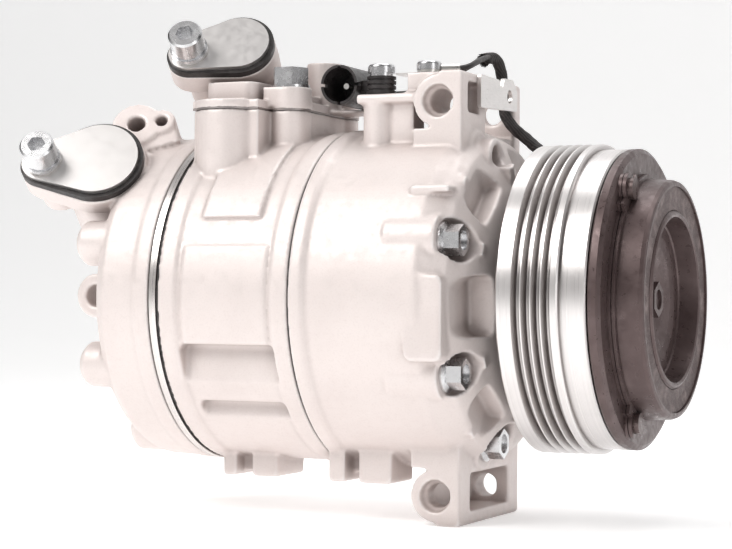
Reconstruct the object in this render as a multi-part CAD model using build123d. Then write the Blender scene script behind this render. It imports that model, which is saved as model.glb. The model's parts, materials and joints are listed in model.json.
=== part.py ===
from build123d import *
import math
import os

# Seven-cylinder swash-plate refrigerant compressor with an electromagnetic clutch.
# Millimetres. +X runs along the shaft toward the clutch, +Z is up and -Y is the port side.
# The origin is the point where the shaft axis crosses the plane of the pulley's rear rim.

# ---- driving dimensions -------------------------------------------------------------------
cylinder_count = 7
cylinder_pitch_radius = 36.0
bore_radius = 13.0
bolt_circle_radius = 52.7
first_bolt_angle = 22.0
body_radius = 61.2
seam_radius = 62.4

rear_end_x = -155.5
rear_joint_x = -130.3
block_rear_x = -126.0
block_front_x = -74.4
front_joint_x = -74.0
bolt_seat_x = -21.0

belt_radius = 55.0
pulley_front_x = 31.1
pulley_front_radius = 53.0
groove_pitch = 3.56
groove_depth = 2.6
first_groove_x = 7.1
groove_count = 4

shaft_radius = 8.0
nose_radius = 17.48
bearing_inner_radius = 17.5
bearing_outer_radius = 27.5
bearing_x = (4.0, 24.0)

ear_x = -31.4
ear_z = 69.8
ear_near_y = -30.0
ear_far_y = 30.0
ear_boss_radius = 9.3
ear_bore_radius = 4.4
ear_front_x = -22.1

ledge_screw = (-56.6, -21.8)
ring_screw = (-39.6, -18.0)
deck_z = ear_z + ear_boss_radius + 1.2

air_gap = 0.55
armature_x = pulley_front_x + air_gap
cup_front_x = 47.4
fit = 0.02
play = 0.05

swash_x = -52.0
swash_thickness = 6.0
swash_radius = 41.0
shoe_radius = 5.4
chamber_front_x = -26.0

port_normal = Vector(0.25, -0.81, 0.53).normalized()
view_side = Vector(0.50, -0.855, -0.10).normalized()

os.makedirs("parts", exist_ok=True)


# ---- helpers ------------------------------------------------------------------------------
def save(name, shape):
    if isinstance(shape, list):
        shape = Compound(children=shape) if len(shape) > 1 else shape[0]
    shape.label = name
    export_step(shape, os.path.join("parts", name + ".step"))


def fuse(shapes):
    result = shapes[0]
    for shape in shapes[1:]:
        result = result + shape
    return result


def cut(shape, tools):
    for tool in tools:
        shape = shape - tool
    return shape


def box(x0, x1, y0, y1, z0, z1):
    return Pos((x0 + x1) / 2, (y0 + y1) / 2, (z0 + z1) / 2) * Box(x1 - x0, y1 - y0, z1 - z0)


def round_box(x0, x1, y0, y1, z0, z1, radius, axis):
    solid = box(x0, x1, y0, y1, z0, z1)
    return fillet(solid.edges().filter_by(axis), radius)


def cyl_x(x0, x1, radius, y=0.0, z=0.0):
    return Pos((x0 + x1) / 2, y, z) * Rot(0, 90, 0) * Cylinder(radius, x1 - x0)


def cyl_y(y0, y1, radius, x=0.0, z=0.0):
    return Pos(x, (y0 + y1) / 2, z) * Rot(90, 0, 0) * Cylinder(radius, y1 - y0)


def cyl_z(z0, z1, radius, x=0.0, y=0.0):
    return Pos(x, y, (z0 + z1) / 2) * Cylinder(radius, z1 - z0)


def tube_x(x0, x1, outer, inner, y=0.0, z=0.0):
    return cyl_x(x0, x1, outer, y, z) - cyl_x(x0 - 1, x1 + 1, inner, y, z)


def spun(points):
    """Solid of revolution about the shaft axis from (x, radius) points."""
    profile = Polyline(*[(x, 0, radius) for x, radius in points], close=True)
    return revolve(make_face(profile), Axis.X, 360)


def around(radius, angle):
    """Point in the plane of the shaft's cross-section; zero degrees is the port side (-Y)."""
    turn = math.radians(angle)
    return -radius * math.cos(turn), radius * math.sin(turn)


def spoke(shape, angle):
    """Turn a shape built on the -Y side about the shaft to the given angle."""
    return Rot(-angle, 0, 0) * shape


bolt_angles = [first_bolt_angle + k * 360.0 / cylinder_count for k in range(cylinder_count)]
bore_angles = [angle + 180.0 / cylinder_count for angle in bolt_angles]
deep_bolt_angle = bolt_angles[1]
shallow_pocket_angles = (bore_angles[0], bore_angles[5])
valve_angle = bore_angles[4]
valve_x = -142.5


# ---- front housing ------------------------------------------------------------------------
def ear_block(side, y0, y1):
    """One mounting ear: round boss with a square shoulder toward the pulley."""
    boss = cyl_y(y0, y1, ear_boss_radius, ear_x, side * ear_z)
    outer = side * deck_z
    inner = side * 46.0
    shoulder = box(ear_x, ear_front_x, y0, y1, min(outer, inner), max(outer, inner))
    shoulder = fillet(shoulder.edges().filter_by(Axis.Y).group_by(Axis.Z)[-1 if side > 0 else 0], 0.9)
    neck_root = side * 60.0
    neck = box(ear_x - 9.4, ear_x + 1, y0, y1, min(neck_root, inner), max(neck_root, inner))
    return fuse([boss, shoulder, neck])


def front_housing():
    body = spun([
        (front_joint_x, 0), (front_joint_x, seam_radius), (-69.5, seam_radius), (-67.6, body_radius),
        (-27.0, body_radius), (-21.0, 58.6), (-17.5, 56.4), (-8.0, 41.0), (-5.2, 36.5), (-5.2, nose_radius),
        (27.5, nose_radius), (27.5, 0)])
    bosses = []
    for angle in bolt_angles:
        y, z = around(bolt_circle_radius, angle)
        bosses.append(cyl_x(-40, bolt_seat_x, 9.4, y, z))
        bosses.append(spoke(box(-22, -9, -50.0, -30, -2.2, 2.2), angle))
    upper_near = ear_block(1, ear_near_y, -6.5)
    upper_far = ear_block(1, 23.4, ear_far_y)
    lower = ear_block(-1, ear_near_y, ear_far_y)
    saddle = box(ear_x - 9.4, ear_front_x - 1.0, -8, 24, 48, 59.4)
    top_deck = box(-44.5, ear_x, ear_near_y + 3, -9, 74.5, deck_z)
    pad = round_box(-31.0, -17.2, -60.4, -40, -21.5, 8.0, 3.0, Axis.Y)
    rib_high = round_box(-33.0, -18.5, -50.6, -35, 36.3, 38.8, 1.2, Axis.Y)
    boss_high = cyl_x(-44, -14.5, 7.6, *around(51.5, 74.0))
    wedge_high = spoke(box(-30, -11, -57.5, -44, -2.0, 2.0), 46)
    wedge_low = spoke(box(-30, -11, -57.5, -44, -2.0, 2.0), -57)
    ledge = round_box(-63.2, -36.0, -29.5, -14, 69.6, 73.0, 1.2, Axis.X)
    post_near = cyl_z(48, 70.5, 5.9, ledge_screw[0], -23.2)
    post_web = box(-50, -42, -26.5, -16, 48, 70.5)
    foot_rear = round_box(-73.9, -67.5, -28, -8, -66.6, -45, 1.2, Axis.Y)
    foot_front = round_box(-62.0, -49.0, -28, -8, -66.6, -45, 1.2, Axis.Y)
    foot_web = box(-68.0, -61.0, -20, -10, -63.5, -50)
    shell = fuse([body, upper_near, upper_far, lower, saddle, top_deck, pad, rib_high, boss_high,
                  wedge_high, wedge_low, ledge, post_near, post_web, foot_rear, foot_front,
                  foot_web] + bosses)

    tools = [cyl_x(-75, chamber_front_x, 47.5), cyl_x(-75, -6, 12.02), cyl_x(-10, 28, 13.02)]
    tools.append(cyl_x(chamber_front_x - 0.5, chamber_front_x + 0.01, 34.0))
    for angle in bore_angles:
        y, z = around(cylinder_pitch_radius, angle)
        tools.append(cyl_x(-75, -38, 14.2, y, z))
        floor_radius = 43.5 if angle in shallow_pocket_angles else 38.0
        tools.append(spoke(round_box(-16.5, 4, -70, -floor_radius, -10.5, 10.5, 4.0, Axis.Y), angle))
    for angle in bolt_angles:
        y, z = around(bolt_circle_radius, angle)
        tools.append(cyl_x(-75, 2, 3.3, y, z))
        tools.append(cyl_x(bolt_seat_x, 2, 3.9 if angle == deep_bolt_angle else 7.4, y, z))
    for side in (1, -1):
        tools.append(cyl_y(ear_near_y - 1, ear_far_y + 1, ear_bore_radius, ear_x, side * ear_z))
        tools.append(cyl_y(ear_near_y - 1, ear_near_y + 3.5, 5.7, ear_x, side * ear_z))
    tools.append(cyl_x(-25.6, -20, 1.8, -9.2, 73.5))
    tools.append(round_box(-37.5, -20, -19.0, 19.5, -75.6, -62.2, 1.5, Axis.X))
    tools.append(round_box(-26.5, -20, -23.5, -12.0, 66.0, 77.0, 1.5, Axis.X))
    tools.append(cyl_z(62, 75, 2.6, ledge_screw[0], ledge_screw[1]))
    tools.append(cyl_z(73, 84, 2.6, ring_screw[0], ring_screw[1]))
    return cut(shell, tools)


save("front_housing", front_housing())


# ---- cylinder block -----------------------------------------------------------------------
tower_top_z = 68.4
tower_boss = (-113.7, -31.0, 12.2)
tower_bolt = (-93.5, -21.5, 7.6)
tower_rear_bolt = (-91.5, 17.5, 7.0)


def tower_outline(z0, z1, grow=0.0):
    x, y, radius = tower_boss
    core = box(-125.8 - grow, -99.0, -37.0 - grow, 24.0 + grow, z0, z1)
    drum = cyl_z(z0, z1, radius + grow, x, y)
    step = box(-100, -87.0, -21.0, 24.0 + grow, z0, z1)
    pads = [cyl_z(z0, z1, r + grow, px, py) for px, py, r in (tower_bolt, tower_rear_bolt)]
    return fuse([core, drum, step] + pads)


def cylinder_block():
    body = spun([
        (block_rear_x, 0), (block_rear_x, 61.8), (-119.8, 61.8), (-118.6, body_radius - 0.3),
        (-82.0, body_radius - 0.3), (-80.8, 61.8), (block_front_x, 61.8), (block_front_x, 0)])
    panel_band = cyl_x(-111.5, -88.5, 62.6) & box(-112, -88, -70, -20, 28.4, 58)
    side_band = cyl_x(-116.5, -83.5, 61.7) & box(-117, -83, -70, -20, -16.9, 18.0)
    tower = tower_outline(30, tower_top_z)
    foot_rear = round_box(-122.0, -116.4, -19, 4, -66.8, -50, 1.2, Axis.Y)
    foot_front = round_box(-109.7, -99.2, -19, 4, -66.8, -50, 1.2, Axis.Y)
    foot_web = box(-117, -109, -12, -2, -65.5, -50)
    shell = fuse([body, panel_band, side_band, tower, foot_rear, foot_front, foot_web])
    tools = [cyl_x(-93, -73, 12.02), cyl_x(-100, -92, shaft_radius + 0.4), cyl_x(-127, -99, 6.0)]
    tools.append(round_box(-119.0, -81.0, -70, -52.6, -36.0, -17.0, 2.0, Axis.Y))
    tools.append(round_box(-116.5, -81.5, -70, -42.5, -52.0, -37.4, 2.0, Axis.Y))
    tools.append(round_box(-119.0, -104.0, -24.0, 14.0, 55.0, 70.0, 3.0, Axis.Z))
    tools.append(cyl_z(52, 70, 3.2, tower_bolt[0], tower_bolt[1]))
    tools.append(cyl_z(54, 70, 3.2, tower_rear_bolt[0], tower_rear_bolt[1]))
    for angle in bore_angles:
        y, z = around(cylinder_pitch_radius, angle)
        tools.append(cyl_x(-127, -73, bore_radius, y, z))
    for angle in bolt_angles:
        y, z = around(bolt_circle_radius, angle)
        tools.append(cyl_x(-127, -73, 3.3, y, z))
    return cut(shell, tools)


save("cylinder_block", cylinder_block())


# ---- rear housing -------------------------------------------------------------------------
port_across = port_normal.cross(view_side).normalized()
rear_port = Vector(-161.0, -46.0, 50.3)
top_port = Vector(-114.6, -23.0, 93.9)
seal_thickness = 2.6
plate_thickness = 1.8


def port_frame(centre, turn):
    across = port_across.rotate(Axis((0, 0, 0), port_normal), turn)
    return Plane(origin=centre, x_dir=across, z_dir=port_normal)


def port_slab(frame, low, high, port_end, bolt_end, reach):
    """Egg-shaped slab standing on the port frame: a round port end and a smaller bolt end."""
    with BuildSketch() as outline:
        Circle(port_end)
        with Locations((-reach, 0)):
            Circle(bolt_end)
        make_hull()
    slab = extrude(outline.sketch, high - low)
    return frame.location * (Pos(0, 0, low) * slab)


rear_frame = port_frame(rear_port, -16.5)
top_frame = port_frame(top_port, -7.0)
rear_port_size = (15.2, 8.1, 20.6)
top_port_size = (11.6, 8.1, 18.3)


def at_port(frame, x, low, high, radius):
    return frame.location * (Pos(x, 0, (low + high) / 2) * Cylinder(radius, high - low))


def rear_housing():
    body = spun([
        (rear_joint_x, 0), (rear_joint_x, seam_radius - 0.6), (-135.5, seam_radius - 0.6),
        (-137.0, body_radius), (-150.0, body_radius - 0.4), (-154.0, body_radius - 3.2),
        (rear_end_x, body_radius - 7.5), (rear_end_x, 0)])
    ends = []
    for angle in bolt_angles[:1] + bolt_angles[2:]:
        y, z = around(bolt_circle_radius - 1.0, angle)
        plug = cyl_x(-165.5, -145.0, 8.4, y, z)
        ends.append(chamfer(plug.edges().group_by(Axis.X)[0], 2.6))
    big_end, small_end, reach = rear_port_size
    flange = port_slab(rear_frame, -10.5, -seal_thickness, big_end + 2.2, small_end + 1.0, reach)
    neck = at_port(rear_frame, 0, -34, -6, big_end)
    root = at_port(rear_frame, 10.0, -34, -8, big_end - 4.0)
    bolt_root = at_port(rear_frame, -reach + 3, -20, -8, small_end)
    relief_boss = cyl_y(45, 62, 9.0, -143.0, 14)
    lug_frame = Plane(origin=Vector(-157.5, -25.0, 65.6), x_dir=port_across, z_dir=port_normal)
    lug = lug_frame.location * (Pos(0, 0, -10) * Cylinder(9.6, 20))
    ear = lug_frame.location * (Pos(9.5, -2, -10) * Cylinder(5.4, 20))
    lug_web = lug_frame.location * (Pos(4, -6, -14) * Box(20, 14, 26))
    arm = box(-178.2, -150, -20, 0, -8.6, 8.6)
    ring = cyl_y(-20, 0, 8.6, -178.2, 0)
    arm_rib = box(-172, -150, -16, -4, -20, 20)
    shell = fuse([body, neck, root, bolt_root, flange, lug, ear, lug_web, arm_rib, arm, ring,
                  relief_boss] + ends)
    tools = [cyl_y(-21, 1, 4.3, -178.2, 0)]
    tools.append(cyl_y(50, 63, 5.02, -143.0, 14))
    tools.append(cyl_x(-146, rear_joint_x + 1, 20.0))
    tools.append(tube_x(-146, rear_joint_x + 1, 47.5, 25.0))
    tools.append(lug_frame.location * (Pos(0, 0, -6) * Cylinder(3.4, 14)))
    tools.append(lug_frame.location * (Pos(9.5, -2, -5) * Cylinder(2.3, 12)))
    tools.append(at_port(rear_frame, 0, -24, 1, 8.5))
    tools.append(at_port(rear_frame, -reach, -17, 1, 3.3))
    tools.append(spoke(cyl_y(-70, -32, 7.6, valve_x), valve_angle))
    for angle in bolt_angles:
        y, z = around(bolt_circle_radius, angle)
        tools.append(cyl_x(-152, rear_joint_x + 1, 3.3, y, z))
    shell = cut(shell, tools)
    valve_wall = spoke(cyl_y(-55, -30, 9.8, valve_x) - cyl_y(-70, -20, 7.6, valve_x), valve_angle)
    inside = cyl_x(-147, rear_joint_x, 48.0)
    return shell + (valve_wall & inside)


save("rear_housing", rear_housing())


# ---- valve plate stack --------------------------------------------------------------------
def plate_disc(x0, x1, radius, port_radius=0.0, port_pitch=cylinder_pitch_radius):
    disc = cyl_x(x0, x1, radius)
    holes = [cyl_x(x0 - 1, x1 + 1, 3.3, *around(bolt_circle_radius, angle)) for angle in bolt_angles]
    if port_radius:
        holes += [cyl_x(x0 - 1, x1 + 1, port_radius, *around(port_pitch, angle)) for angle in bore_angles]
    return cut(disc, holes)


def reed_disc(x0, x1, radius, pitch, length):
    """Thin spring disc with one U-shaped slot per cylinder that leaves a flexing tongue."""
    disc = plate_disc(x0, x1, radius)
    slots = []
    for angle in bore_angles:
        outer = box(x0 - 1, x1 + 1, -pitch - length / 2 - 1.6, -pitch + length / 2, -5.6, 5.6)
        tongue = box(x0 - 1, x1 + 1, -pitch - length / 2, -pitch + length / 2 + 1, -4.0, 4.0)
        slots.append(spoke(outer - tongue, angle))
    return cut(disc, slots)


front_gasket = plate_disc(-126.6, block_rear_x, 61.3, bore_radius)
save("suction_reed", reed_disc(-126.9, -126.6, 60.6, 36.0, 17.0))
save("valve_plate", cut(plate_disc(-129.5, -126.9, 61.9, 3.2, 30.0), [
    cyl_x(-130, -126, 3.6, *around(41.0, angle)) for angle in bore_angles]))
save("discharge_reed", reed_disc(-129.8, -129.5, 31.0, 22.0, 8.0))
rear_gasket = tube_x(rear_joint_x, -129.5, 61.0, 48.0) - fuse([
    cyl_x(-131, -129, 3.3, *around(bolt_circle_radius, angle)) for angle in bolt_angles])
save("head_gaskets", [front_gasket, rear_gasket])
save("body_gasket", tube_x(block_front_x, front_joint_x, 61.4, 56.6))


# ---- through bolts ------------------------------------------------------------------------
def hex_prism(x0, x1, across_flats, y, z):
    profile = RegularPolygon(across_flats / 2, 6, major_radius=False)
    prism = extrude(profile, x1 - x0)
    return Pos(x0, y, z) * Rot(0, 90, 0) * prism


def flange_bolt(angle):
    y, z = around(bolt_circle_radius, angle)
    shank = cyl_x(-150.0, bolt_seat_x + play, 2.9, y, z)
    flange = spun([(0, 0), (0, 6.6), (0.9, 6.6), (1.9, 4.9), (1.9, 0)])
    head = hex_prism(1.8, 7.4, 9.6, 0, 0) - cyl_x(6.2, 8.0, 3.4)
    return shank + Pos(bolt_seat_x + play, y, z) * (flange + head)


def deep_bolt(angle):
    y, z = around(bolt_circle_radius, angle)
    shank = cyl_x(-150.0, -24.0, 2.9, y, z)
    return shank - Pos(-24.0 - 3.0, y, z) * (hex_prism(0, 4, 3.0, 0, 0))


save("through_bolts", [deep_bolt(a) if a == deep_bolt_angle else flange_bolt(a) for a in bolt_angles])


# ---- pistons and shoes --------------------------------------------------------------------
def piston():
    pitch = cylinder_pitch_radius
    head = cyl_x(-125.2, -92.0, bore_radius - play, -pitch)
    rings = [tube_x(x, x + 1.4, 14, bore_radius - 0.7, -pitch) for x in (-122.6, -118.8)]
    skirt = cyl_x(-92.0, -86.0, bore_radius - play, -pitch)
    stem = box(-88, -58.4, -46.0, -pitch + 5, -6.0, 6.0)
    bridge = box(-62, -40.0, -46.4, -42.3, -6.6, 6.6)
    front_pad = cyl_x(-46.2, -40.0, 6.4, -pitch)
    front_link = box(-46.2, -40.0, -46.4, -pitch, -6.0, 6.0)
    body = fuse([cut(head, rings), skirt, stem, bridge, front_pad, front_link])
    pockets = []
    for side in (-1, 1):
        face = swash_x + side * (swash_thickness / 2 + play)
        pockets.append(Pos(face, -pitch, 0) * Rot(0, 90, 0) * Sphere(shoe_radius + play))
    half_gap = swash_thickness / 2 + 0.6
    gap = box(swash_x - half_gap, swash_x + half_gap, -42.25, -20, -20, 20)
    return cut(body, pockets + [gap])


def shoe(side):
    face = swash_x + side * (swash_thickness / 2 + play)
    ball = Pos(face, -cylinder_pitch_radius, 0) * Rot(0, 90, 0) * Sphere(shoe_radius)
    far = face + side * 10
    half = box(min(face, far), max(face, far), -60, -10, -20, 20)
    return ball & half


one_piston = piston()
save("pistons", [spoke(one_piston, angle) for angle in bore_angles])
save("piston_rings", [spoke(tube_x(x + play, x + 1.4 - play, bore_radius - fit, bore_radius - 0.65,
                                   -cylinder_pitch_radius), angle)
                      for angle in bore_angles for x in (-122.6, -118.8)])
save("shoes", [spoke(shoe(side), angle) for angle in bore_angles for side in (-1, 1)])


# ---- shaft group --------------------------------------------------------------------------
def drive_shaft():
    body = spun([
        (-98.0, 0), (-98.0, shaft_radius - 1), (-97.0, shaft_radius), (29.5, shaft_radius),
        (30.0, shaft_radius - 0.5), (30.0, 6.0), (35.4, 6.0), (35.4, 0)])
    return body - cyl_x(22.0, 36.0, 2.6)


hinge_x = -42.0
hinge_z = 22.0

plate = cyl_x(swash_x - swash_thickness / 2, swash_x + swash_thickness / 2, swash_radius)
swash_ear = box(-50, -38.5, -3.0, 3.0, 16.0, 26.0)
swash_sleeve = cyl_x(-58.0, -46.0, 14.0)
swash = cut(fuse([plate, swash_sleeve, swash_ear]), [
    cyl_x(-60, -44, shaft_radius + fit), cyl_y(-4, 4, 2.52, hinge_x, hinge_z)])
save("swash_plate", swash)

lug_disc = cyl_x(-35.0, -29.2, 33.0)
lug_arms = [box(-45.5, -34.5, side * 5.2 - 2.1, side * 5.2 + 2.1, 16.0, 26.0) for side in (-1, 1)]
weight = box(-38.5, -34.5, -14, 14, -28, -14)
lug = cut(fuse([lug_disc, weight] + lug_arms), [
    cyl_x(-40, -28, shaft_radius + fit), cyl_y(-9, 9, 2.52, hinge_x, hinge_z)])
save("lug_plate", lug)
save("hinge_pin", cyl_y(-8.0, 8.0, 2.5, hinge_x, hinge_z))
save("drive_shaft", drive_shaft())


def spring_washer(x, flip):
    low, high = (x, x + 1.4) if flip else (x + 1.4, x)
    return spun([(low, 8.3), (low + 0.7, 8.3), (high + 0.7, 12.6), (high, 12.6)])


save("return_springs", [spring_washer(-45.6 + 2.4 * k, k % 2 == 0) for k in range(4)])
save("thrust_bearing", [
    tube_x(-29.15, -28.2, 32.0, 18.0), tube_x(-26.95, chamber_front_x - play, 32.0, 18.0)] + [
    spoke(Pos(-27.575, -25.0, 0) * Rot(90, 0, 0) * Cylinder(0.58, 11.0), 15.0 * k) for k in range(24)])
save("needle_bearings", [tube_x(x, x + 16.0, 12.0, shaft_radius + play) for x in (-24.0, -91.5)])
save("shaft_seal", spun([
    (6.0, shaft_radius + fit), (6.0, 9.6), (12.0, 11.0), (12.0, 13.0), (17.0, 13.0), (17.0, 10.5),
    (13.5, 10.2), (9.5, shaft_radius + 1.0), (9.5, shaft_radius + fit)]))
seal_ring = tube_x(18.0, 19.4, 13.0, 10.0) - box(17, 20, -2, 2, 8, 14)


# ---- pulley -------------------------------------------------------------------------------
def pulley():
    rim = [(0.0, 49.6), (0.0, belt_radius - 0.5), (0.5, belt_radius)]
    for k in range(groove_count):
        centre = first_groove_x + k * groove_pitch
        rim += [(centre - 1.55, belt_radius), (centre - 0.35, belt_radius - groove_depth),
                (centre + 0.35, belt_radius - groove_depth), (centre + 1.55, belt_radius)]
    rim += [(21.4, belt_radius), (21.9, belt_radius - 0.5), (21.9, pulley_front_radius),
            (pulley_front_x - 0.6, pulley_front_radius), (pulley_front_x, pulley_front_radius - 0.6)]
    web = [(pulley_front_x, 31.0), (pulley_front_x - 1.2, 29.0),
           (pulley_front_x - 1.2, bearing_outer_radius), (2.6, bearing_outer_radius), (2.6, 31.2),
           (25.4, 31.2), (25.4, 49.6)]
    body = spun(rim + web)
    slots = []
    for radius, shift in ((36.5, 0), (44.5, 30)):
        ring = tube_x(25, 32, radius + 0.9, radius - 0.9)
        for k in range(6):
            middle = shift + 60 * k
            gap = fuse([spoke(box(24, 33, -60, -20, -6.0, 6.0), middle + half) for half in (-14, 0, 14)])
            slots.append(ring & gap)
    return cut(body, slots)


save("pulley", pulley())

bear0, bear1 = bearing_x
bear_mid = (bear0 + bear1) / 2
ball_pitch = 22.5
ball_radius = 3.2
race_groove = Pos(bear_mid, 0, 0) * Rot(0, 90, 0) * Torus(ball_pitch, ball_radius + play)
save("bearing_inner_race", tube_x(bear0, bear1, 20.6, bearing_inner_radius) - race_groove)
save("bearing_outer_race", tube_x(bear0, bear1, bearing_outer_radius - fit, 24.4) - race_groove)
balls = [spoke(Pos(bear_mid, -ball_pitch, 0) * Sphere(ball_radius), 36.0 * k) for k in range(10)]
cage = tube_x(bear_mid - 4.6, bear_mid + 4.6, 23.4, 21.6)
cage_pocket = Pos(bear_mid, -ball_pitch, 0) * Sphere(ball_radius + play)
cage = cut(cage, [spoke(cage_pocket, 36.0 * k) for k in range(10)])
save("bearing_balls", balls + [cage])
save("bearing_seals", [tube_x(x, x + 0.8, 24.2, 20.8) for x in (bear0 + 0.6, bear1 - 1.4)])
nose_ring = tube_x(bear1 + play, bear1 + 1.6, 20.0, nose_radius + play) - box(23, 27, -2, 2, 14, 22)


# ---- clutch coil --------------------------------------------------------------------------
lead_radius = 44.5
lead_angle = 104.0
coil_cup = spun([
    (-5.0, nose_radius + fit), (-5.0, 36.0), (-2.2, 36.0), (-2.2, 48.4), (24.0, 48.4), (24.0, 45.9),
    (0.8, 45.9), (0.8, 34.9), (24.0, 34.9), (24.0, 32.2), (-1.8, 32.2), (-1.8, nose_radius + fit)])
lead_hole = cyl_x(-8, 2, 2.9, *around(lead_radius, lead_angle))
save("coil_housing", coil_cup - lead_hole)
save("coil_winding", tube_x(1.2, 22.4, 45.5, 35.3))
coil_ring = tube_x(-1.75, -0.4, 20.4, nose_radius + play) - box(-3, 1, -2, 2, 14, 22)
save("snap_rings", [seal_ring, nose_ring, coil_ring])


# ---- armature and hub ---------------------------------------------------------------------
lug_angles = (54.0, -66.0, 174.0)
rivet_radius = 46.4

armature = spun([
    (armature_x, 30.5), (armature_x, 52.6), (armature_x + 0.5, 53.0), (armature_x + 2.9, 53.0),
    (armature_x + 4.1, 51.2), (armature_x + 4.1, 30.5)])
rivet_holes = [cyl_x(armature_x - 1, 42, 2.52, *around(rivet_radius, angle)) for angle in lug_angles]
save("armature_plate", cut(armature, rivet_holes))

sheet_x = armature_x + 4.15
plate_arms = []
for lug_angle in lug_angles:
    arm_y, arm_z = around(rivet_radius, lug_angle)
    tip = cyl_x(sheet_x, sheet_x + 2.6, 5.4, arm_y, arm_z)
    arm = spoke(box(sheet_x, sheet_x + 2.6, -rivet_radius, -34, -9.0, 9.0), lug_angle)
    plate_arms += [tip, arm]
hub_sheet = fuse([tube_x(sheet_x, sheet_x + 2.6, 44.2, 31.6)] + plate_arms)
seam = tube_x(sheet_x + 1.15, sheet_x + 1.45, 60, 43.4)
save("hub_sheet", cut(hub_sheet, rivet_holes + [cyl_x(sheet_x - 1, 45, 31.6), seam]))
save("rivets", [cyl_x(armature_x + 0.6, sheet_x + 2.7, 2.5, *around(rivet_radius, a))
                + cyl_x(sheet_x + 2.65, sheet_x + 4.5, 3.7, *around(rivet_radius, a)) for a in lug_angles])

cup = spun([
    (sheet_x + 2.65, 39.6), (sheet_x + 2.65, 42.4), (cup_front_x - 1.6, 41.9), (cup_front_x - 0.4, 41.4),
    (cup_front_x, 40.4), (cup_front_x, 39.6)])
save("damper_cup", cut(cup, [cyl_x(30, sheet_x + 4.6, 3.9, *around(rivet_radius, a)) for a in lug_angles]))
save("damper_rubber", spun([
    (39.4, 39.5), (46.6, 39.5), (46.0, 35.4), (46.4, 31.4), (39.4, 31.4)]))
hub_inner = spun([
    (31.2, 6.05), (31.2, 11.5), (34.0, 12.6), (36.9, 18.6), (38.0, 22.5), (38.0, 30.2), (46.5, 31.2),
    (47.2, 30.6), (47.4, 29.9), (47.0, 29.0), (45.8, 28.8), (40.4, 28.0), (39.9, 27.4), (39.9, 23.0),
    (39.2, 19.6), (37.6, 15.2), (36.4, 12.6), (36.0, 11.4), (36.0, 6.05)])
save("clutch_hub", hub_inner)
save("hub_shims", tube_x(30.05, 31.15, 10.5, 6.05))
bolt_head = hex_prism(37.0, 40.8, 11.0, 0, 0) - cyl_x(39.8, 42, 3.6)
save("hub_bolt", cyl_x(24.0, 36.2, 2.55) + cyl_x(36.05, 37.1, 9.0) + bolt_head)


# ---- top cover and its port ---------------------------------------------------------------
gasket_top_z = tower_top_z + 0.6
pad_top_z = 77.0


def top_cover():
    base = tower_outline(gasket_top_z, gasket_top_z + 3.0, 0.4)
    dome = round_box(-123.5, -103.0, -33.0, 14.0, 70, 79.0, 4.0, Axis.Z)
    shoulder = box(-108, -90.0, -24.0, 14.0, 70, 75.0)
    bolt_pad = cyl_z(70, pad_top_z, 7.9, tower_bolt[0], tower_bolt[1])
    pad_link = box(-101.0, -93.0, -29.2, -14.0, 70, pad_top_z)
    rear_pad = cyl_z(70, 88.5, 6.6, tower_rear_bolt[0], 3.0)
    rear_pad_low = cyl_z(70, 76.0, 7.4, tower_rear_bolt[0], tower_rear_bolt[1])
    arm = box(-90, -62.0, -2.0, 12.0, gasket_top_z, 70.22)
    big_end, small_end, reach = top_port_size
    flange = port_slab(top_frame, -11.5, -seal_thickness, big_end + 2.0, small_end + 1.0, reach)
    neck = at_port(top_frame, 1.5, -30, -8, big_end + 0.8)
    bolt_root = at_port(top_frame, -reach + 4, -24, -8, small_end - 0.5)
    body = fuse([base, dome, shoulder, bolt_pad, pad_link, rear_pad, rear_pad_low, arm, flange, neck,
                 bolt_root])
    tools = [box(-140, -60, -70, 40, 40, gasket_top_z)]
    tools.append(at_port(top_frame, 0, -22, 1, 7.0))
    tools.append(at_port(top_frame, -reach, -18, 1, 3.3))
    tools.append(cyl_z(60, 90, 3.2, tower_bolt[0], tower_bolt[1]))
    tools.append(cyl_z(60, 90, 3.2, tower_rear_bolt[0], tower_rear_bolt[1]))
    tools.append(cyl_z(80, 90, 3.4, tower_rear_bolt[0], 1.0))
    tools.append(round_box(-119.0, -105.0, -22.0, 10.0, 60.0, 75.0, 3.0, Axis.Z))
    return cut(body, tools)


save("top_cover", top_cover())
gasket_ring = tower_outline(tower_top_z, gasket_top_z, 0.2)
save("cover_gasket", cut(gasket_ring, [
    box(-119.0, -104.0, -24.0, 14.0, 60.0, 75.0),
    cyl_z(60, 75, 3.3, tower_bolt[0], tower_bolt[1]),
    cyl_z(60, 75, 3.3, tower_rear_bolt[0], tower_rear_bolt[1])]))


def hex_z(z0, z1, across_flats, x, y):
    profile = RegularPolygon(across_flats / 2, 6, major_radius=False)
    return Pos(x, y, z0) * extrude(profile, z1 - z0)


def cover_bolt(x, y, seat_z):
    return (cyl_z(56.0, seat_z + 0.1, 2.95, x, y) + cyl_z(seat_z + play, seat_z + 1.0, 7.2, x, y)
            + hex_z(seat_z + 0.9, seat_z + 7.4, 12.4, x, y))


save("cover_bolts", [cover_bolt(tower_bolt[0], tower_bolt[1], pad_top_z),
                     cover_bolt(tower_rear_bolt[0], tower_rear_bolt[1], 76.0)])


# ---- shipping caps ------------------------------------------------------------------------
def cap_seal(frame, size):
    big_end, small_end, reach = size
    slab = port_slab(frame, -seal_thickness + play, 0, big_end + 1.7, small_end + 0.9, reach)
    return slab - at_port(frame, -reach, -4, 1, 3.3)


def cap_plate(frame, size):
    big_end, small_end, reach = size
    slab = port_slab(frame, play, plate_thickness, big_end, small_end, reach)
    collar = at_port(frame, -reach, plate_thickness - 0.1, plate_thickness + 0.9, small_end - 1.2)
    return slab + collar - at_port(frame, -reach, -1, 5, 3.3)


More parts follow.
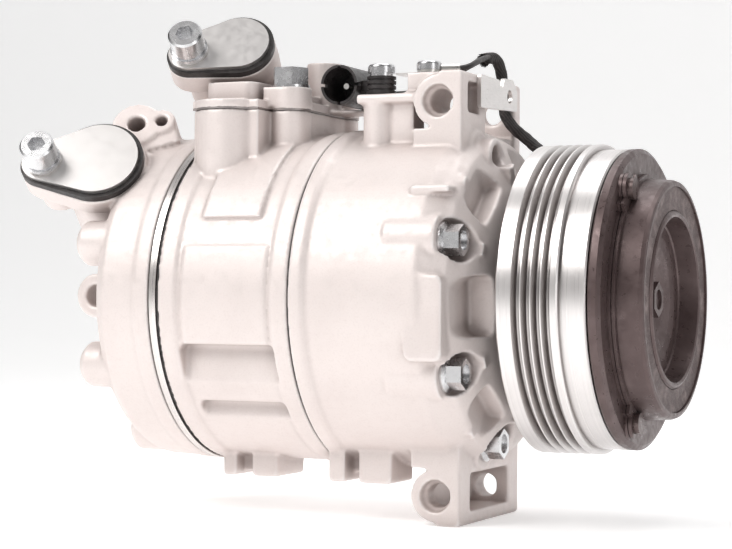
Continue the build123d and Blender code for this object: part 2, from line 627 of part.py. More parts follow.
def cap_bolt(frame, size):
    reach = size[2]
    seat = plate_thickness + 0.95
    washer = at_port(frame, -reach, seat, seat + 1.3, 7.0)
    shank = at_port(frame, -reach, -14.0, seat + 1.0, 3.25)
    head = at_port(frame, -reach, seat + 1.25, seat + 9.8, 6.4)
    head = chamfer(head.edges().filter_by(GeomType.CIRCLE), 0.7)
    hexagon = RegularPolygon(3.0, 6, major_radius=False)
    socket = frame.location * (Pos(-reach, 0, seat + 5.8) * extrude(hexagon, 5))
    return washer + shank + head - socket


save("rear_cap_seal", cap_seal(rear_frame, rear_port_size))
save("rear_cap_plate", cap_plate(rear_frame, rear_port_size))
save("top_cap_seal", cap_seal(top_frame, top_port_size))
save("top_cap_plate", cap_plate(top_frame, top_port_size))
save("cap_bolts", [cap_bolt(rear_frame, rear_port_size), cap_bolt(top_frame, top_port_size)])


# ---- valves in the rear housing -----------------------------------------------------------
valve_body = cyl_y(-59.0, -33.5, 7.55, valve_x)
valve_body = cut(valve_body, [
    cyl_y(-52, -32, 4.0, valve_x),
    cyl_y(-56.5, -54.7, 9, valve_x) - cyl_y(-58, -52, 6.3, valve_x),
    cyl_y(-42.5, -40.7, 9, valve_x) - cyl_y(-43, -40, 6.3, valve_x)])
valve_rod = cyl_y(-49.5, -37.0, 3.95, valve_x) + cyl_y(-37.1, -34.0, 1.4, valve_x)
valve_seals = [cyl_y(y + play, y + 1.8 - play, 7.57, valve_x) - cyl_y(y - 1, y + 3, 6.35, valve_x)
               for y in (-56.5, -42.5)]
save("control_valve", spoke(valve_body, valve_angle))
save("control_valve_rod", spoke(valve_rod, valve_angle))
save("control_valve_seals", [spoke(ring, valve_angle) for ring in valve_seals])
relief = cyl_y(51.0, 62.05, 5.0, -143.0, 14) + Pos(-143.0, 67.6, 14) * Rot(90, 0, 0) * extrude(
    RegularPolygon(7.0, 6, major_radius=False), 5.6)
save("relief_valve", relief - cyl_y(50, 65, 2.2, -143.0, 14) - cyl_y(64, 69, 3.2, -143.0, 14))


# ---- connector, harness and screws --------------------------------------------------------
connector = (-73.4, 77.6)
connector_y = (-22.5, 6.0)
shell = cyl_y(connector_y[0], connector_y[1], 7.3, *connector)
tail = cyl_y(connector_y[1] - 1, connector_y[1] + 7.0, 4.4, *connector)
key = box(connector[0] + 6, connector[0] + 9.4, -18, 2, connector[1] - 3.4, connector[1] + 1.6)
clip_arm = box(connector[0] + 8.6, ledge_screw[0] - 3.2, -15, -6, connector[1] - 3.4, connector[1] + 1.2)
socket = cyl_y(connector_y[0] - 1, -5.0, 6.3, *connector)
lead_socket = cyl_y(connector_y[1] + 3, connector_y[1] + 8, 1.4, *connector)
slots = [box(connector[0] - 9, connector[0] + 9, -24, -19, connector[1] - 0.6, connector[1] + 0.6),
         box(connector[0] - 0.6, connector[0] + 0.6, -24, -19, connector[1] - 9, connector[1] + 9)]
connector_body = cut(fuse([shell, tail, key, clip_arm]), [socket, lead_socket] + slots)
save("connector_body", connector_body)
save("connector_pin", cyl_y(-16.0, -5.0 - play, 1.1, *connector))


def pan_screw(x, y, seat_z, root_z, head_radius):
    head = cyl_z(seat_z, seat_z + 3.2, head_radius, x, y)
    head = fillet(head.edges().group_by(Axis.Z)[-1], 1.2)
    cross = box(x - 2.4, x + 2.4, y - 0.5, y + 0.5, seat_z + 1.6, seat_z + 4)
    cross = cross + box(x - 0.5, x + 0.5, y - 2.4, y + 2.4, seat_z + 1.6, seat_z + 4)
    return cyl_z(root_z, seat_z + 0.1, 2.45, x, y) + head - cross


def washer(x, y, z0, z1, outer, inner=2.55):
    return cyl_z(z0, z1, outer, x, y) - cyl_z(z0 - 1, z1 + 1, inner, x, y)


ledge_top_z = 73.0
grommet = washer(*ledge_screw, ledge_top_z + play, 79.8, 5.3)
grommet = cut(grommet, [cyl_z(z, z + 0.7, 8, *ledge_screw) - cyl_z(z - 1, z + 2, 4.7, *ledge_screw)
                        for z in (74.6, 76.4, 78.2)])
save("grommet", grommet)
save("screw_collar", washer(*ledge_screw, 79.85, 81.1, 4.3))
clip = box(-51.0, -36.5, -22.0, -14.0, deck_z + play, deck_z + 0.7)
save("ground_clip", clip - cyl_z(70, 90, 2.55, *ring_screw))
eye = washer(*ring_screw, deck_z + 0.75, deck_z + 1.65, 4.3)
barrel_start = Vector(-35.6, -16.6, deck_z + 1.9)
barrel_end = Vector(-29.6, -13.6, deck_z + 2.2)


def rod_between(start, end, radius):
    length = (end - start).length
    frame = Plane(origin=start, z_dir=(end - start).normalized())
    return frame.location * (Pos(0, 0, length / 2) * Cylinder(radius, length))


barrel = rod_between(barrel_start, barrel_end, 1.9)
eye_clear = cyl_z(deck_z + 1.65, deck_z + 8, 4.6, *ring_screw)
barrel_run = barrel_end - barrel_start
barrel_bore = rod_between(barrel_start + barrel_run * 0.35, barrel_end + barrel_run * 0.33, 1.1)
save("ring_terminal", eye + (barrel - eye_clear) - barrel_bore - cyl_z(70, 90, 2.55, *ring_screw))
save("terminal_screws", [pan_screw(*ledge_screw, 81.15, 62.5, 5.0),
                         pan_screw(*ring_screw, deck_z + 1.7, 73.6, 4.6)])


def cable(points, bends, radius):
    path = FilletPolyline(*points, radius=bends) if len(points) > 2 else Line(*points)
    start = Plane(origin=path @ 0, z_dir=path % 0)
    return sweep(start * Circle(radius), path=path)


lead_y, lead_z = around(lead_radius, lead_angle)
mouth = (-28.6, 9.2, 88.4)
sleeve_points = [mouth, (-26.4, 17.0, 91.6), (-24.55, 18.9, 76.0), (-24.55, 18.9, 66.5),
                 (-14.0, 21.4, 57.5), (-6.6, 14.5, 52.4), (-6.6, lead_y, lead_z), (-1.3, lead_y, lead_z)]
sleeve_radius = 2.3
save("harness_sleeve", cable(sleeve_points, 3.6, sleeve_radius))
wire_radius = 1.05
ground_wire = [barrel_start + barrel_run * 0.45, barrel_start + barrel_run * 1.4,
               (-27.0, 0.0, 87.4), (-27.6, 8.3, 88.7)]
plug_wire = [(-29.8, 8.2, 88.1), (-36.0, 7.0, 85.4), (-52.0, 18.5, 78.6),
             (connector[0], 18.5, connector[1]), (connector[0], 9.1, connector[1])]
save("ground_wire", cable(ground_wire, 2.6, wire_radius))
save("signal_wire", cable(plug_wire, 2.6, wire_radius))


# ---- harness bracket ----------------------------------------------------------------------
bracket_x = (ear_front_x + play, ear_front_x + 1.55)
bracket_edge = [(-15.4, 68.2), (-15.4, 80.2), (3.2, 79.9), (4.4, 77.4), (7.0, 77.4), (8.4, 81.0),
                (17.6, 81.2), (22.0, 77.0), (22.0, 69.8)]
with BuildSketch(Plane.YZ.offset(bracket_x[0])) as bracket_face:
    with BuildLine():
        Polyline(*bracket_edge, close=True)
    make_face()
    fillet(bracket_face.vertices(), 1.1)
bracket = extrude(bracket_face.sketch, bracket_x[1] - bracket_x[0])
rivet = (-9.2, 73.5)
save("harness_bracket", cut(bracket, [cyl_x(-24, -18, 2.6, 14.0, 74.6), cyl_x(-24, -18, 1.85, *rivet)]))
save("bracket_rivet", cyl_x(-25.5, bracket_x[1], 1.8, *rivet))
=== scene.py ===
import json
import math

import bmesh
import bpy
from mathutils import Matrix, Vector, noise


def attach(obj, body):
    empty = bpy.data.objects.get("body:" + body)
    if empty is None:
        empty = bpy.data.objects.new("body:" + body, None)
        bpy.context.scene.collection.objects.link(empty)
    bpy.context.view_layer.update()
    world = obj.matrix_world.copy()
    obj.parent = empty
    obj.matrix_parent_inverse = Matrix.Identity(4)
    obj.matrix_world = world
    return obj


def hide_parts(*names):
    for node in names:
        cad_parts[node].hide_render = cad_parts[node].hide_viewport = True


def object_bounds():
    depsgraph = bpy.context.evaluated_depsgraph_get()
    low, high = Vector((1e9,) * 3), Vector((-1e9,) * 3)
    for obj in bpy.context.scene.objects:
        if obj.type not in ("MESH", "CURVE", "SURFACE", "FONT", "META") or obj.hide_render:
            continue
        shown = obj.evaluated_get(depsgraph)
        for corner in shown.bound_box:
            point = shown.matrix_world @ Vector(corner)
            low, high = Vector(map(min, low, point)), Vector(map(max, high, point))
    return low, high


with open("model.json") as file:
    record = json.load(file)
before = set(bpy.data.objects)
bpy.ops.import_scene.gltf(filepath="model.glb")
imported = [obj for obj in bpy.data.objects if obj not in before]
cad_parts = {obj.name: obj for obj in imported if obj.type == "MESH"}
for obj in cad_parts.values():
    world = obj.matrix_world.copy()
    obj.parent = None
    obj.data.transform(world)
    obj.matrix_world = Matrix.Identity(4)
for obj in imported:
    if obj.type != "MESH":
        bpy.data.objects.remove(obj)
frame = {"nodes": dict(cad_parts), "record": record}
cad_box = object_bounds()

MM = 0.001


# ---- camera -------------------------------------------------------------------------------
CAMERA_PLACE = Vector((0.2378, -0.6815, 0.0))
CAMERA_AZIMUTH = math.radians(24.46)
CAMERA_TILT = math.radians(0.66)
CAMERA_ROLL = math.radians(0.42)
CAMERA_LENS = 98.36
SENSOR_WIDTH = 36.0


def make_camera():
    data = bpy.data.cameras.new("camera")
    data.lens = CAMERA_LENS
    data.sensor_width = SENSOR_WIDTH
    data.clip_start, data.clip_end = 0.01, 20.0
    turn = Matrix.Rotation(CAMERA_AZIMUTH, 3, "Z") @ Matrix.Rotation(CAMERA_TILT, 3, "X")
    right, back, up = turn @ Vector((1, 0, 0)), turn @ Vector((0, -1, 0)), turn @ Vector((0, 0, 1))
    across = math.cos(CAMERA_ROLL) * right + math.sin(CAMERA_ROLL) * up
    above = math.cos(CAMERA_ROLL) * up - math.sin(CAMERA_ROLL) * right
    camera = bpy.data.objects.new("camera", data)
    axes = Matrix((across, above, back)).transposed().to_4x4()
    camera.matrix_world = Matrix.Translation(CAMERA_PLACE) @ axes
    bpy.context.scene.collection.objects.link(camera)
    bpy.context.scene.camera = camera


# ---- light and floor ----------------------------------------------------------------------
# The sky's grey at each height, from the horizon to straight up. Its dark band gives the metal contrast.
SKY_BANDS = [(0.02, 1.0), (0.16, 0.95), (0.3, 0.14), (0.52, 0.12), (0.66, 1.0), (0.98, 1.0)]
SKY_STRENGTH = 0.38
LIGHT_TARGET = (-0.06, 0.0, 0.0)
# Each light's name, place, size in metres, power in watts and colour.
LIGHTS = [("key", (-0.55, -0.75, 0.75), (0.6, 0.6), 8.2, (1, 0.985, 0.97)),
          ("side", (0.9, -0.55, 0.25), (0.35, 0.9), 1.6, (1, 1, 1)),
          ("top", (0.0, 0.15, 0.95), (0.9, 0.5), 3.8, (1, 1, 1))]

# The floor's measures in metres: its front, where it begins to curve up, the curve's radius and its top.
FLOOR_FRONT = -2.5
FLOOR_BEND = 0.9
FLOOR_RADIUS = 0.8
FLOOR_TOP = 3.5
FLOOR_HALF_WIDTH = 3.5
FLOOR_STEPS = 10
FLOOR_GLOW = 0.37


def area_light(name, place, size, power, colour):
    data = bpy.data.lights.new(name, "AREA")
    data.shape, data.size, data.size_y = "RECTANGLE", size[0], size[1]
    data.energy, data.color = power, colour
    light = bpy.data.objects.new(name, data)
    light.location = place
    light.rotation_mode = "QUATERNION"
    light.rotation_quaternion = (Vector(LIGHT_TARGET) - Vector(place)).to_track_quat("-Z", "Y")
    bpy.context.scene.collection.objects.link(light)


def make_studio():
    world = bpy.data.worlds.new("studio")
    world.use_nodes = True
    tree = world.node_tree
    background = tree.nodes["Background"]
    background.inputs["Strength"].default_value = SKY_STRENGTH
    direction = tree.nodes.new("ShaderNodeTexCoord")
    split = tree.nodes.new("ShaderNodeSeparateXYZ")
    ramp = tree.nodes.new("ShaderNodeValToRGB")
    tree.links.new(direction.outputs["Generated"], split.inputs[0])
    tree.links.new(split.outputs[2], ramp.inputs[0])
    tree.links.new(ramp.outputs[0], background.inputs["Color"])
    stops = ramp.color_ramp.elements
    stops[0].position, stops[1].position = SKY_BANDS[0][0], SKY_BANDS[-1][0]
    for place, _ in SKY_BANDS[1:-1]:
        stops.new(place)
    for stop, (_, grey) in zip(stops, SKY_BANDS):
        stop.color = (grey, 0.985 * grey, 0.98 * grey, 1)
    bpy.context.scene.world = world
    bpy.context.scene.view_settings.view_transform = "Standard"
    for light in LIGHTS:
        area_light(*light)


def make_floor():
    """A pale sweep: flat under the object, curving up behind it."""
    low = cad_box[0].z
    rows = [(FLOOR_FRONT, low), (FLOOR_BEND, low)]
    for k in range(1, FLOOR_STEPS + 1):
        angle = math.radians(90 * k / FLOOR_STEPS)
        rows.append((FLOOR_BEND + FLOOR_RADIUS * math.sin(angle),
                     low + FLOOR_RADIUS - FLOOR_RADIUS * math.cos(angle)))
    rows.append((FLOOR_BEND + FLOOR_RADIUS, FLOOR_TOP))
    mesh = bpy.data.meshes.new("floor")
    points = [(x, y, z) for y, z in rows for x in (-FLOOR_HALF_WIDTH, FLOOR_HALF_WIDTH)]
    faces = [(2 * k, 2 * k + 1, 2 * k + 3, 2 * k + 2) for k in range(len(rows) - 1)]
    mesh.from_pydata(points, [], faces)
    mesh.shade_smooth()
    floor = bpy.data.objects.new("floor", mesh)
    bpy.context.scene.collection.objects.link(floor)
    finish = bpy.data.materials.new("floor")
    finish.use_nodes = True
    shader = finish.node_tree.nodes["Principled BSDF"]
    shader.inputs["Base Color"].default_value = (0.93, 0.93, 0.93, 1)
    shader.inputs["Roughness"].default_value = 0.9
    shader.inputs["Emission Color"].default_value = (1, 1, 1, 1)
    shader.inputs["Emission Strength"].default_value = FLOOR_GLOW
    mesh.materials.append(finish)


# ---- materials ----------------------------------------------------------------------------
HOLLOW_SAMPLES = 6
# How far the AO reaches for the painted shade in a casting's corners.
CAST_SHADE_REACH = 7 * MM
# How far the AO reaches for the painted shade in a turned part's grooves.
TURNED_SHADE_REACH = 3 * MM
# The colour of the painted shade down in a turned part's grooves.
GROOVE_SHADE_COLOUR = (0.1, 0.075, 0.07)
# The colour of the painted highlight on a casting's outer edges.
PAINTED_EDGE_HIGHLIGHT = (0.96, 0.93, 0.92)
BRUSH_STRETCH = 0.04


def darker(colour, share):
    return tuple(share * c for c in colour)


class Finish:
    """A Principled material whose colour, roughness and bump come from small chains of nodes."""

    def __init__(self, name, colour, roughness, metallic=0.0):
        self.material = bpy.data.materials.new(name)
        self.material.use_nodes = True
        self.tree = self.material.node_tree
        self.shader = self.tree.nodes["Principled BSDF"]
        self.shader.inputs["Metallic"].default_value = metallic
        self.shader.inputs["Roughness"].default_value = roughness
        self.roughness = roughness
        self.place = self.add("ShaderNodeTexCoord").outputs["Object"]
        start = self.add("ShaderNodeRGB")
        start.outputs[0].default_value = (*colour, 1)
        self.colour = start.outputs[0]
        self.bump = None
        self.rough = None

    def add(self, kind, **values):
        node = self.tree.nodes.new(kind)
        for key, value in values.items():
            setattr(node, key, value)
        return node

    def link(self, source, target):
        self.tree.links.new(source, target)

    def math(self, operation, first, second=None):
        node = self.add("ShaderNodeMath", operation=operation)
        for socket, value in zip(node.inputs, (first, second)):
            if isinstance(value, (int, float)):
                socket.default_value = value
            elif value is not None:
                self.link(value, socket)
        return node.outputs[0]

    def noise(self, size, detail=2.0, roughness=0.5, place=None):
        """Noise from 0 to 1 whose cells are about size metres across."""
        node = self.add("ShaderNodeTexNoise")
        node.inputs["Scale"].default_value = 1.0 / size
        node.inputs["Detail"].default_value = detail
        node.inputs["Roughness"].default_value = roughness
        self.link(place or self.place, node.inputs["Vector"])
        return node.outputs["Fac"]

    def cells(self, size):
        node = self.add("ShaderNodeTexVoronoi")
        node.inputs["Scale"].default_value = 1.0 / size
        self.link(self.place, node.inputs["Vector"])
        return node.outputs["Distance"]

    def span(self, source, low, high, to_low=0.0, to_high=1.0):
        node = self.add("ShaderNodeMapRange")
        for key, value in (("From Min", low), ("From Max", high), ("To Min", to_low), ("To Max", to_high)):
            node.inputs[key].default_value = value
        self.link(source, node.inputs["Value"])
        return node.outputs["Result"]

    def mix(self, share, colour):
        """Lays a second colour over the present one by a share from nodes."""
        node = self.add("ShaderNodeMix", data_type="RGBA")
        self.link(share, node.inputs["Factor"])
        self.link(self.colour, node.inputs["A"])
        node.inputs["B"].default_value = (*colour, 1)
        self.colour = node.outputs["Result"]

    def hollow(self, reach):
        """1 on open faces, less where other faces stand within reach metres."""
        node = self.add("ShaderNodeAmbientOcclusion", samples=HOLLOW_SAMPLES)
        node.inputs["Distance"].default_value = reach
        return node.outputs["AO"]

    def raise_by(self, height, distance, strength=1.0):
        """Adds a bump to those so far. Its height is distance metres, times strength."""
        node = self.add("ShaderNodeBump")
        node.inputs["Distance"].default_value = distance
        node.inputs["Strength"].default_value = strength
        self.link(height, node.inputs["Height"])
        if self.bump is not None:
            self.link(self.bump, node.inputs["Normal"])
        self.bump = node.outputs["Normal"]

    def vary(self, source, spread):
        """Roughness that wanders about its middle value."""
        low, high = max(self.roughness - spread, 0.02), min(self.roughness + spread, 1.0)
        self.rough = self.span(source, 0.3, 0.7, low, high)

    def turned_place(self, pitch):
        """Coordinates that change only along the shaft and away from it, as a lathe cuts."""
        split = self.add("ShaderNodeSeparateXYZ")
        self.link(self.place, split.inputs[0])
        square = self.math("ADD", self.math("MULTIPLY", split.outputs[1], split.outputs[1]),
                           self.math("MULTIPLY", split.outputs[2], split.outputs[2]))
        join = self.add("ShaderNodeCombineXYZ")
        self.link(self.math("MULTIPLY", split.outputs[0], 1.0 / pitch), join.inputs[0])
        self.link(self.math("MULTIPLY", self.math("SQRT", square), 1.0 / pitch), join.inputs[1])
        return join.outputs[0]

    def brushed_place(self, pitch, along):
        """Coordinates stretched along one axis, as a brush or a rolling mill leaves."""
        node = self.add("ShaderNodeMapping")
        scale = [1.0 / pitch] * 3
        scale[along] = BRUSH_STRETCH / pitch
        node.inputs["Scale"].default_value = scale
        self.link(self.place, node.inputs["Vector"])
        return node.outputs[0]

    def done(self):
        self.link(self.colour, self.shader.inputs["Base Color"])
        if self.rough is not None:
            self.link(self.rough, self.shader.inputs["Roughness"])
        if self.bump is not None:
            self.link(self.bump, self.shader.inputs["Normal"])
        return self.material


def cast_metal(name, colour, dark):
    """Sand-blasted die casting: fine-grained, with painted shade in its corners and a painted highlight on
    its edges.
    """
    f = Finish(name, colour, 0.5, 0.3)
    f.mix(f.span(f.noise(22 * MM, 3), 0.45, 0.75, 0.0, 0.12), dark)
    f.mix(f.span(f.noise(0.7 * MM, 2), 0.5, 0.8, 0.0, 0.16), dark)
    # Painted shade: the colour darkens where the AO finds other faces near, in corners and recesses.
    f.mix(f.span(f.hollow(CAST_SHADE_REACH), 0.35, 0.95, 0.75, 0.0), darker(dark, 0.6))
    corner = f.add("ShaderNodeNewGeometry").outputs["Pointiness"]
    # Painted shade in concave creases, found by low pointiness.
    f.mix(f.span(corner, 0.5, 0.44, 0.0, 0.5), darker(dark, 0.6))
    # Painted highlight on convex edges, found by high pointiness.
    f.mix(f.span(corner, 0.515, 0.58, 0.0, 0.7), PAINTED_EDGE_HIGHLIGHT)
    f.vary(f.noise(3 * MM), 0.1)
    f.raise_by(f.noise(0.42 * MM, 2), 0.05 * MM, 0.55)
    f.raise_by(f.noise(5 * MM, 2), 0.1 * MM, 0.4)
    return f.done()


def turned_metal(name, colour, roughness, pitch, depth, groove_shade=0.0):
    """Lathe-cut metal with fine rings round the shaft, and painted shade down in its grooves."""
    f = Finish(name, colour, roughness, 1.0)
    # Painted shade: the colour darkens in the grooves, where the AO finds the groove walls near.
    if groove_shade:
        f.mix(f.span(f.hollow(TURNED_SHADE_REACH), 0.35, 0.9, groove_shade, 0.0), GROOVE_SHADE_COLOUR)
    rings = f.noise(1.0, 3, 0.65, f.turned_place(pitch))
    f.mix(f.span(rings, 0.4, 0.7, 0.0, 0.35), darker(colour, 0.7))
    f.mix(f.span(f.noise(9 * MM, 3), 0.5, 0.75, 0.0, 0.25), darker(colour, 0.8))
    f.vary(rings, 0.07)
    f.raise_by(rings, depth)
    return f.done()


def plated(name, colour, roughness, grain=0.3 * MM, depth=0.002 * MM):
    """Bright plated or ground metal with a fine, cloudy grain."""
    f = Finish(name, colour, roughness, 1.0)
    f.mix(f.span(f.noise(6 * MM, 3), 0.45, 0.75, 0.0, 0.12), darker(colour, 0.75))
    f.mix(f.span(f.noise(0.3 * MM, 2), 0.55, 0.8, 0.0, 0.1), darker(colour, 0.7))
    f.vary(f.noise(2.6 * MM, 2), 0.035)
    f.raise_by(f.noise(grain, 2), depth, 0.6)
    return f.done()


def painted(name, colour, light, roughness):
    """Dark phosphated or painted steel: satin, with paler specks."""
    f = Finish(name, colour, roughness, 0.5)
    f.mix(f.span(f.noise(8 * MM, 3), 0.45, 0.75, 0.0, 0.28), light)
    f.mix(f.span(f.cells(0.6 * MM), 0.0, 0.2, 0.3, 0.0), light)
    f.vary(f.noise(2.5 * MM, 3), 0.12)
    f.raise_by(f.noise(0.35 * MM, 2), 0.012 * MM, 0.6)
    f.raise_by(f.noise(6 * MM, 2), 0.06 * MM, 0.4)
    return f.done()


def moulded(name, colour, light, roughness, grain=0.3 * MM, depth=0.04 * MM):
    """Rubber or plastic with a fine moulded grain and a dusty bloom."""
    f = Finish(name, colour, roughness)
    f.mix(f.span(f.noise(5 * MM, 4), 0.45, 0.75, 0.0, 0.6), light)
    f.mix(f.span(f.noise(0.4 * MM, 2), 0.55, 0.75, 0.0, 0.5), light)
    f.vary(f.noise(1.5 * MM, 3), 0.1)
    f.raise_by(f.noise(grain, 2), depth, 0.7)
    return f.done()


def brushed(name, colour, roughness, along):
    """Rolled sheet metal, its grain along one axis."""
    f = Finish(name, colour, roughness, 1.0)
    lines = f.noise(1.0, 3, 0.6, f.brushed_place(0.12 * MM, along))
    f.mix(f.span(lines, 0.45, 0.75, 0.0, 0.35), darker(colour, 0.72))
    f.mix(f.span(f.noise(7 * MM, 3), 0.45, 0.75, 0.0, 0.35), darker(colour, 0.78))
    f.vary(lines, 0.08)
    f.raise_by(lines, 0.012 * MM)
    return f.done()


def braided(name, colour, light):
    """Woven sleeve or bundled wires: small crossing threads."""
    f = Finish(name, colour, 0.6)
    weave = f.add("ShaderNodeTexWave", wave_type="BANDS", bands_direction="DIAGONAL")
    weave.inputs["Scale"].default_value = 420.0
    weave.inputs["Distortion"].default_value = 2.0
    f.link(f.place, weave.inputs["Vector"])
    f.mix(f.span(weave.outputs["Fac"], 0.55, 1.0, 0.0, 0.6), light)
    f.mix(f.span(f.noise(0.7 * MM, 3), 0.55, 0.75, 0.0, 0.5), light)
    f.raise_by(weave.outputs["Fac"], 0.12 * MM, 0.8)
    f.raise_by(f.noise(0.3 * MM, 2), 0.05 * MM, 0.6)
    return f.done()


def make_finishes():
    return {
        "casting": cast_metal("cast_aluminium", (0.8, 0.725, 0.7), (0.52, 0.43, 0.405)),
        "metal_gasket": plated("metal_gasket", (0.42, 0.38, 0.37), 0.45),
        "gasket": moulded("gasket", (0.03, 0.028, 0.028), (0.09, 0.08, 0.08), 0.6),
        "plate_steel": turned_metal("ground_plate", (0.78, 0.74, 0.72), 0.3, 0.25 * MM, 0.01 * MM),
        "bolt_zinc": plated("zinc_bolts", (0.72, 0.72, 0.73), 0.26),
        "cap_plate": plated("cap_plate", (0.66, 0.64, 0.63), 0.38, 0.7 * MM, 0.012 * MM),
        "cap_seal": moulded("cap_seal", (0.018, 0.015, 0.015), (0.07, 0.06, 0.06), 0.42),
        "piston_alloy": turned_metal("piston_alloy", (0.8, 0.78, 0.77), 0.32, 0.4 * MM, 0.01 * MM),
        "ptfe": moulded("ptfe", (0.36, 0.3, 0.24), (0.5, 0.44, 0.38), 0.5),
        "hard_steel": turned_metal("hardened_steel", (0.62, 0.61, 0.6), 0.22, 0.3 * MM, 0.006 * MM),
        # The pulley's turned finish carries painted shade in its grooves.
        "pulley_steel": turned_metal("turned_pulley", (0.84, 0.81, 0.8), 0.32, 0.3 * MM, 0.006 * MM,
                                     groove_shade=0.85),
        "coil_steel": painted("coil_case", (0.05, 0.045, 0.045), (0.16, 0.14, 0.14), 0.42),
        "winding": braided("copper_winding", (0.52, 0.22, 0.1), (0.8, 0.42, 0.22)),
        "clutch_steel": painted("clutch_steel", (0.112, 0.078, 0.076), (0.26, 0.2, 0.195), 0.36),
        "rivet_steel": painted("rivet_steel", (0.12, 0.085, 0.082), (0.26, 0.21, 0.2), 0.33),
        "damper": moulded("damper_rubber", (0.1, 0.072, 0.07), (0.34, 0.27, 0.26), 0.62,
                          1.0 * MM, 0.2 * MM),
        "valve_brass": turned_metal("valve_brass", (0.75, 0.56, 0.28), 0.28, 0.3 * MM, 0.01 * MM),
        "connector_black": moulded("connector_plastic", (0.02, 0.017, 0.017), (0.07, 0.06, 0.06), 0.35),
        "terminal": plated("tinned_terminal", (0.8, 0.78, 0.75), 0.3),
        "sleeve": braided("braided_sleeve", (0.016, 0.013, 0.013), (0.075, 0.062, 0.06)),
        "wire": moulded("wire_insulation", (0.02, 0.017, 0.017), (0.09, 0.075, 0.07), 0.4),
        "bracket": brushed("bracket_sheet", (0.82, 0.79, 0.775), 0.36, 1),
    }


# ---- shapes -------------------------------------------------------------------------------
WELD_DISTANCE = 2e-6
SMOOTHING_PASSES = 4
SMOOTHING_FACTOR = 0.5
TUBE_CREASE = math.radians(50)


def own(name, mesh, body, slot, finish, *nodes):
    """A finished piece: linked, riding on its body, and standing for the CAD nodes named."""
    piece = bpy.data.objects.new(name, mesh)
    bpy.context.scene.collection.objects.link(piece)
    mesh.materials.clear()
    mesh.materials.append(finish)
    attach(piece, body)
    if nodes:
        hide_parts(*nodes)
    return piece


def welded_copy(node):
    mesh = frame["nodes"][node].data.copy()
    shape = bmesh.new()
    shape.from_mesh(mesh)
    bmesh.ops.remove_doubles(shape, verts=shape.verts, dist=WELD_DISTANCE)
    shape.to_mesh(mesh)
    shape.free()
    return mesh


def cast_skin(name, node, voxel, keep, finish):
    """The CAD casting with its machined-sharp corners rounded over, as a mould leaves them."""
    mesh = welded_copy(node)
    rough = bpy.data.objects.new(name + "_rough", mesh)
    bpy.context.scene.collection.objects.link(rough)
    remesh = rough.modifiers.new("remesh", "REMESH")
    remesh.mode = "VOXEL"
    remesh.voxel_size = voxel
    smooth = rough.modifiers.new("smooth", "SMOOTH")
    smooth.factor = SMOOTHING_FACTOR
    smooth.iterations = SMOOTHING_PASSES
    thin = rough.modifiers.new("thin", "DECIMATE")
    thin.ratio = keep
    graph = bpy.context.evaluated_depsgraph_get()
    done = bpy.data.meshes.new_from_object(rough.evaluated_get(graph))
    bpy.data.objects.remove(rough)
    done.shade_smooth()
    return own(name, done, "housing", "casting", finish, node)


def spline_points(points, count):
    """Points along the smooth curve that a NURBS spline makes of a route."""
    data = bpy.data.curves.new("route", "CURVE")
    data.dimensions = "3D"
    data.resolution_u = count
    spline = data.splines.new("NURBS")
    spline.points.add(len(points) - 1)
    for place, point in zip(spline.points, points):
        place.co = (*[c * MM for c in point], 1)
    spline.order_u = 3
    spline.use_endpoint_u = True
    holder = bpy.data.objects.new("route", data)
    bpy.context.scene.collection.objects.link(holder)
    graph = bpy.context.evaluated_depsgraph_get()
    line = bpy.data.meshes.new_from_object(holder.evaluated_get(graph))
    found = [vertex.co.copy() for vertex in line.vertices]
    bpy.data.objects.remove(holder)
    return found


def frames_along(line):
    """A direction and two side vectors at each point, carried along without twist."""
    side = None
    found = []
    for k, place in enumerate(line):
        ahead = (line[min(k + 1, len(line) - 1)] - line[max(k - 1, 0)]).normalized()
        if side is None:
            side = ahead.cross(Vector((0, 0, 1)))
            side = side if side.length > 0.1 else ahead.cross(Vector((0, 1, 0)))
        side = (side - ahead * side.dot(ahead)).normalized()
        found.append((place, side, ahead.cross(side), ahead))
    return found


def tube(name, line, radius, slot, finish, node, sides=24, relief=None):
    """A closed tube along a line. relief(run, angle) gives how far its surface stands off the radius."""
    shape = bmesh.new()
    rings = []
    run = 0.0
    last = line[0]
    for place, side, other, _ in frames_along(line):
        run += (place - last).length
        last = place
        ring = []
        for k in range(sides):
            angle = 2 * math.pi * k / sides
            reach = radius + relief(run, angle) if relief else radius
            out = math.cos(angle) * side + math.sin(angle) * other
            ring.append(shape.verts.new(place + reach * out))
        rings.append(ring)
    for first, second in zip(rings, rings[1:]):
        for k in range(sides):
            n = (k + 1) % sides
            shape.faces.new((first[k], first[n], second[n], second[k]))
    shape.faces.new(list(reversed(rings[0])))
    shape.faces.new(rings[-1])
    bmesh.ops.recalc_face_normals(shape, faces=shape.faces)
    mesh = bpy.data.meshes.new(name)
    shape.to_mesh(mesh)
    shape.free()
    mesh.shade_smooth()
    mesh.set_sharp_from_angle(angle=TUBE_CREASE)
    return own(name, mesh, "housing", slot, finish, node)


# ---- harness ------------------------------------------------------------------------------
# Radii and routes in millimetres.
SLEEVE_RADIUS = 2.15
WIRE_RADIUS = 1.05
# Points per stretch of each route.
SLEEVE_STEPS = 16
LEAD_STEPS = 12
THREAD_COUNT = 46
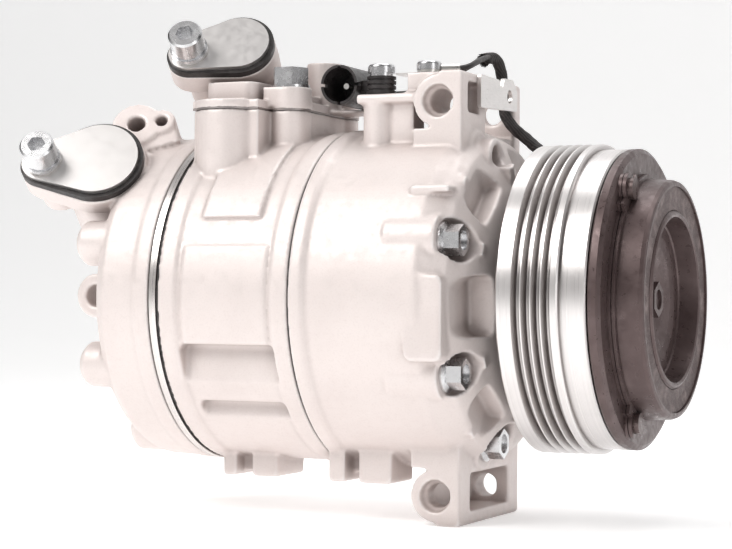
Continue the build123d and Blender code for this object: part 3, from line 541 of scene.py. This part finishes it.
# A thread is three-sided. These are the angles of its corners, in radians.
THREAD_CORNERS = (0, 2.09, 4.19)
SLEEVE_ROUTE = [(-28.6, 9.2, 88.4), (-26.4, 17.0, 91.6), (-24.55, 18.9, 76.0), (-24.55, 18.9, 66.5),
                (-14.0, 21.4, 57.5), (-6.6, 14.5, 52.4), (-6.6, 10.77, 43.18), (-1.3, 10.77, 43.18)]
GROUND_ROUTE = [(-32.9, -15.25, 82.34), (-27.2, -12.4, 82.6), (-27.0, 0.0, 87.4), (-27.5, 10.2, 89.3)]
SIGNAL_ROUTE = [(-29.1, 10.0, 88.8), (-36.0, 7.0, 85.4), (-52.0, 18.5, 78.6),
                (-73.4, 18.5, 77.6), (-73.4, 9.1, 77.6)]


def make_harness(finishes):
    def braid(run, angle):
        ridge = math.sin(run / (0.62 * MM)) * 0.06 * MM
        lean = math.sin(3 * angle + run / (1.4 * MM)) * 0.05 * MM
        return ridge + lean

    sleeve_line = spline_points(SLEEVE_ROUTE, SLEEVE_STEPS)
    tube("sleeve_braid", sleeve_line, SLEEVE_RADIUS * MM, "sleeve", finishes["sleeve"],
         "harness_sleeve", sides=40, relief=braid)
    for name, route, node in (("ground_lead", GROUND_ROUTE, "ground_wire"),
                              ("signal_lead", SIGNAL_ROUTE, "signal_wire")):
        tube(name, spline_points(route, LEAD_STEPS), WIRE_RADIUS * MM, "wire", finishes["wire"], node)
    make_frayed_end(sleeve_line, finishes["sleeve"])


def make_frayed_end(line, finish):
    """Loose threads that stand out round the sleeve's cut mouth; their sizes are in millimetres."""
    place, side, other, ahead = frames_along(line)[0]
    shape = bmesh.new()
    for k in range(THREAD_COUNT):
        angle = 2 * math.pi * k / THREAD_COUNT
        seed = Vector((k * 1.37, 0.5, 2.1))
        reach = 1.6 + 2.4 * abs(noise.noise(seed))
        lean = 0.3 + 0.5 * noise.noise(seed * 2.3)
        out = math.cos(angle + 0.15 * lean) * side + math.sin(angle + 0.15 * lean) * other
        root = place + ahead * 0.6 * MM + out * (SLEEVE_RADIUS - 0.15) * MM
        middle = root - ahead * reach * 0.55 * MM + out * 0.25 * MM
        tip = root - ahead * reach * MM + out * (0.3 + lean) * MM
        across = ahead.cross(out).normalized()
        last = None
        for point, width in ((root, 0.22), (middle, 0.18), (tip, 0.08)):
            ring = [shape.verts.new(point + width * MM * (math.cos(a) * across + math.sin(a) * out))
                    for a in THREAD_CORNERS]
            if last:
                for m in range(3):
                    shape.faces.new((last[m], last[(m + 1) % 3], ring[(m + 1) % 3], ring[m]))
            else:
                shape.faces.new(list(reversed(ring)))
            last = ring
        shape.faces.new(last)
    bmesh.ops.recalc_face_normals(shape, faces=shape.faces)
    mesh = bpy.data.meshes.new("sleeve_threads")
    shape.to_mesh(mesh)
    shape.free()
    own("sleeve_threads", mesh, "housing", "sleeve", finish)


# ---- castings, and the CAD nodes that keep their shape ------------------------------------
# Each skin's name, its CAD node, the remesh's voxel and the share of the faces that is kept.
CASTINGS = [("front_casting", "front_housing", 0.75 * MM, 0.5),
            ("block_casting", "cylinder_block", 0.75 * MM, 0.5),
            ("rear_casting", "rear_housing", 0.75 * MM, 0.6),
            ("cover_casting", "top_cover", 0.5 * MM, 0.6)]
# Nodes whose finish isn't the one that their slot names.
SPECIAL_FINISH = {"cover_gasket": "metal_gasket", "hub_bolt": "clutch_steel"}


def dress_cad_nodes(finishes):
    slots = {part["node"]: part["material_slot"] for part in frame["record"]["subparts"]}
    for name, node in frame["nodes"].items():
        node.data.materials.clear()
        node.data.materials.append(finishes[SPECIAL_FINISH.get(name, slots[name])])


make_camera()
make_studio()
make_floor()
finishes = make_finishes()
dress_cad_nodes(finishes)
make_harness(finishes)
for casting in CASTINGS:
    cast_skin(*casting, finishes["casting"])
